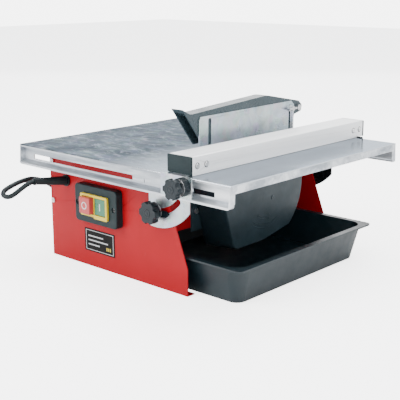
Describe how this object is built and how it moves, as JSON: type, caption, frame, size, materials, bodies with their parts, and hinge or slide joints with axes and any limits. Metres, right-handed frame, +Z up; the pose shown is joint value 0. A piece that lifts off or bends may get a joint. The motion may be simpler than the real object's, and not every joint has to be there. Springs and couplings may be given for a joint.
{
  "type": "tile cutter",
  "caption": "Bench wet tile cutter: tilting steel table with sliding rip fence over a folded steel base, hinged blade guard, round diamond blade, push switch, water tray and mains lead.",
  "frame": {"origin": "on the floor: the point of the tray's underside below the middle of the table's width, 182 mm behind the table's front edge", "axes": "+Z up, +X to the operator's right along the table's width, -Y towards the operator and the switch"},
  "size_m": [0.41, 0.5178, 0.2421],
  "materials": {
    "galvanised_steel": "mottled zinc",
    "red_powder_coat": "satin powder coat",
    "plated_screws": "bright zinc",
    "fence_aluminium": "satin",
    "slate_plastic": "fine grain",
    "black_knob_plastic": "satin",
    "yellow_frame_plastic": "satin",
    "red_button_plastic": "satin",
    "green_button_plastic": "satin",
    "label_print": "satin film",
    "blade_steel": "ground",
    "diamond_grit": "gritty",
    "turned_steel": "turned",
    "motor_aluminium": "cast",
    "motor_iron": "laminated",
    "winding_copper": "enamelled wire",
    "fan_plastic": "moulded",
    "cord_rubber": "satin sheath",
    "pin_brass": "polished"
  },
  "bodies": {
    "base": {"base_back_plate": "red_powder_coat", "base_front_plate": "red_powder_coat", "base_left_cover": "red_powder_coat", "base_screws": "plated_screws", "capacitor": "fan_plastic", "cord_coil": "cord_rubber", "cord_tail": "cord_rubber", "guard_pivot_bolt": "plated_screws", "knife_bolts": "plated_screws", "knife_bracket": "turned_steel", "lower_guard_inner": "slate_plastic", "lower_guard_outer": "slate_plastic", "lower_guard_screws": "plated_screws", "motor_bearings": "turned_steel", "motor_bolts": "plated_screws", "motor_bulkhead": "red_powder_coat", "motor_housing": "motor_aluminium", "motor_shields": "motor_aluminium", "nameplate": "label_print", "pivot_pins": "plated_screws", "plug_body": "cord_rubber", "plug_pins": "pin_brass", "power_cord": "cord_rubber", "riving_knife": "turned_steel", "stator": "motor_iron", "stator_windings": "winding_copper", "strain_relief": "cord_rubber", "switch_box": "slate_plastic", "switch_contact_block": "fan_plastic", "switch_frame": "yellow_frame_plastic", "switch_screws": "plated_screws", "tilt_bolts": "plated_screws", "tilt_pointer": "black_knob_plastic", "tilt_washers": "plated_screws"},
    "table": {"table_top": "galvanised_steel", "quadrants": "galvanised_steel"},
    "fence": {"fence_tube": "fence_aluminium", "fence_caps": "slate_plastic", "fence_rivets": "plated_screws", "fence_brackets": "galvanised_steel", "fence_collar": "black_knob_plastic", "fence_washer": "plated_screws", "fence_clamp_bolt": "plated_screws"},
    "fence_knob_body": {"fence_knob": "black_knob_plastic"},
    "tilt_knob_front_body": {"tilt_knob_front": "black_knob_plastic"},
    "tilt_knob_back_body": {"tilt_knob_back": "black_knob_plastic"},
    "blade": {"motor_shaft": "turned_steel", "rotor": "motor_iron", "cooling_fan": "fan_plastic", "blade_flanges": "turned_steel", "blade_disc": "blade_steel", "diamond_rim": "diamond_grit", "blade_nut": "turned_steel"},
    "guard": {"guard_cover": "slate_plastic", "guard_side_plate": "galvanised_steel", "guard_clamp_screw": "plated_screws", "guard_clamp_nut": "plated_screws"},
    "tray": {"water_tray": "slate_plastic"},
    "off_button": {"red_button": "red_button_plastic"},
    "on_button": {"green_button": "green_button_plastic"}
  },
  "joints": [
    {"name": "table_tilt", "type": "hinge", "parent": "base", "child": "table", "pos_m": [0.052, 0, 0.165], "axis": [0, 1, 0], "range_deg": [0, 45]},
    {"name": "fence_slide", "type": "slide", "parent": "table", "child": "fence", "axis": [1, 0, 0], "range_m": [-0.025, 0.038]},
    {"name": "fence_knob_turn", "type": "hinge", "parent": "fence", "child": "fence_knob_body", "pos_m": [0.133, -0.2, 0.16], "axis": [0, 1, 0], "continuous": true},
    {"name": "tilt_knob_front_turn", "type": "hinge", "parent": "base", "child": "tilt_knob_front_body", "pos_m": [0.05395, -0.16, 0.10903], "axis": [0, 1, 0], "continuous": true},
    {"name": "tilt_knob_back_turn", "type": "hinge", "parent": "base", "child": "tilt_knob_back_body", "pos_m": [0.05395, 0.176, 0.10903], "axis": [0, 1, 0], "continuous": true},
    {"name": "blade_spin", "type": "hinge", "parent": "base", "child": "blade", "pos_m": [0.052, 0.03, 0.115], "axis": [1, 0, 0], "continuous": true},
    {"name": "guard_pivot", "type": "hinge", "parent": "base", "child": "guard", "pos_m": [0.052, 0.144, 0.217], "axis": [-1, 0, 0], "range_deg": [0, 45]},
    {"name": "tray_slide", "type": "slide", "parent": "base", "child": "tray", "axis": [1, 0, 0], "range_m": [0, 0.1]},
    {"name": "off_button_press", "type": "slide", "parent": "base", "child": "off_button", "axis": [0, 1, 0], "range_m": [0, 0.003], "stiffness_N_per_m": 600, "springref_m": -0.001},
    {"name": "on_button_press", "type": "slide", "parent": "base", "child": "on_button", "axis": [0, 1, 0], "range_m": [0, 0.003], "stiffness_N_per_m": 600, "springref_m": -0.001}
  ]
}
